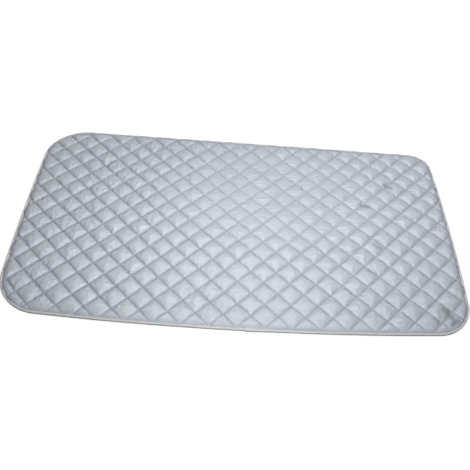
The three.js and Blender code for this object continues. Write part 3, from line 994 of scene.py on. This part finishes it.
def make_camera():
    """The camera of the photograph."""
    data = bpy.data.cameras.new("camera")
    data.sensor_fit = "HORIZONTAL"
    data.sensor_width = SENSOR
    data.lens = FOCAL_PIXELS / FRAME_PIXELS * SENSOR
    outward = math.cos(ELEVATION)
    back = Vector((math.sin(AZIMUTH) * outward, -math.cos(AZIMUTH) * outward, math.sin(ELEVATION)))
    level = Vector((0, 0, 1)).cross(back).normalized()
    upright = back.cross(level)
    right = level * math.cos(ROLL) + upright * math.sin(ROLL)
    up = upright * math.cos(ROLL) - level * math.sin(ROLL)
    camera = bpy.data.objects.new("camera", data)
    eye = TARGET + back * DISTANCE
    camera.matrix_world = Matrix.Translation(eye) @ Matrix((right, up, back)).transposed().to_4x4()
    bpy.context.scene.collection.objects.link(camera)
    bpy.context.scene.camera = camera


def area_light(name, place, aim, size, beam, energy):
    """A square lamp that shines from one place at another."""
    data = bpy.data.lights.new(name, "AREA")
    data.size = size
    data.spread = math.radians(beam)
    data.energy = energy
    lamp = bpy.data.objects.new(name, data)
    lamp.location = place
    lamp.rotation_euler = (Vector(place) - Vector(aim)).to_track_quat("Z", "Y").to_euler()
    bpy.context.scene.collection.objects.link(lamp)


def seen_directly(tree):
    """1 for rays from the camera, and for those that a shiny or clear surface sends on."""
    path = tree.nodes.new("ShaderNodeLightPath")
    shown = arithmetic(tree, "MAXIMUM", path.outputs["Is Camera Ray"], path.outputs["Is Glossy Ray"])
    return arithmetic(tree, "MAXIMUM", shown, path.outputs["Is Transmission Ray"])


def make_room():
    """A dim, cool room that looks white."""
    world = bpy.data.worlds.new("studio")
    world.use_nodes = True
    tree = world.node_tree
    tree.nodes.clear()
    room = add_node(tree, "ShaderNodeBackground", Color=(0.93, 0.96, 1.0, 1), Strength=ROOM_LIGHT)
    white = add_node(tree, "ShaderNodeBackground", Color=(1, 1, 1, 1), Strength=1)
    shaders = {0: seen_directly(tree), 1: room.outputs[0], 2: white.outputs[0]}
    pick = add_node(tree, "ShaderNodeMixShader", shaders)
    add_node(tree, "ShaderNodeOutputWorld", {"Surface": pick.outputs[0]})
    bpy.context.scene.world = world


def white_floor():
    """A matt floor that glows by itself where it is seen, so that it is white to the edge of the picture."""
    made = bpy.data.materials.new("white_floor")
    made.use_nodes = True
    tree = made.node_tree
    tree.nodes.clear()
    matt = add_node(tree, "ShaderNodeBsdfDiffuse", Color=(FLOOR_GREY, FLOOR_GREY, FLOOR_GREY, 1))
    glow = add_node(tree, "ShaderNodeEmission", Color=(1, 1, 1, 1))
    where = tree.nodes.new("ShaderNodeTexCoord").outputs["Object"]
    distance = add_node(tree, "ShaderNodeVectorMath", {0: where}, {"operation": "LENGTH"}).outputs["Value"]
    shine = spread(tree, distance, FLOOR_GLOW_RANGE, FLOOR_GLOW)
    tree.links.new(arithmetic(tree, "MULTIPLY", seen_directly(tree), shine), glow.inputs["Strength"])
    both = add_node(tree, "ShaderNodeAddShader", {0: matt.outputs[0], 1: glow.outputs[0]})
    add_node(tree, "ShaderNodeOutputMaterial", {"Surface": both.outputs[0]})
    return made


def make_floor():
    """The floor under the pad."""
    mesh = bpy.data.meshes.new("floor")
    signs = ((-1, -1), (1, -1), (1, 1), (-1, 1))
    corners = [(FLOOR_REACH * x, FLOOR_REACH * y, FLOOR_LEVEL) for x, y in signs]
    mesh.from_pydata(corners, [], [range(len(corners))])
    floor = bpy.data.objects.new("floor", mesh)
    bpy.context.scene.collection.objects.link(floor)
    mesh.materials.append(white_floor())


def dress(piece, material):
    """Puts a material on a piece."""
    piece.data.materials.append(material)


bpy.context.scene.view_settings.view_transform = "Standard"
make_camera()
make_room()
make_floor()
for lamp_name, lamp_values in LAMPS.items():
    area_light(lamp_name, *lamp_values)

dress(make_cover(), coated_cloth())
dress(
    make_wadding(),
    plain_cloth("wadding_fibre", pitch=1.1 * MM, dark=(0.70, 0.69, 0.66), pale=(0.85, 0.84, 0.81)),
)
dress(
    make_backing(),
    plain_cloth("backing_weave", pitch=0.6 * MM, dark=(0.52, 0.52, 0.51), pale=(0.64, 0.64, 0.63)),
)
dress(make_tape(), tape_cloth())

quilting_thread = thread("quilting_thread", dark=(0.32, 0.34, 0.38), pale=(0.46, 0.48, 0.52))
for way, lift in (("rising", 0), ("falling", CROSSING_LIFT)):
    stitches = quilt_stitches(
        f"quilting_stitches_{way}", way == "rising", NEEDLE_LEVEL, lift,
        "quilting_thread", f"quilting_needle_thread_{way}",
    )
    dress(stitches, quilting_thread)

bobbin_thread = thread("bobbin_thread", dark=(0.55, 0.56, 0.55), pale=(0.70, 0.70, 0.69))
for way, level in (("rising", LOOP_LEVEL_RISING), ("falling", LOOP_LEVEL_FALLING)):
    loops = quilt_stitches(
        f"quilting_loops_{way}", way == "rising", level, 0,
        "bobbin_thread", f"quilting_bobbin_thread_{way}",
    )
    dress(loops, bobbin_thread)

binding_thread = thread("binding_thread", dark=(0.40, 0.42, 0.44), pale=(0.54, 0.56, 0.58))
for name, level, arch, replaced in (
    ("binding_stitches", TAPE_STITCH_LEVEL, TAPE_STITCH_ARCH, "binding_needle_thread"),
    ("binding_loops", TAPE_LOOP_LEVEL, 0, "binding_bobbin_thread"),
):
    dress(tape_stitches(name, level, arch, "binding_thread", replaced), binding_thread)
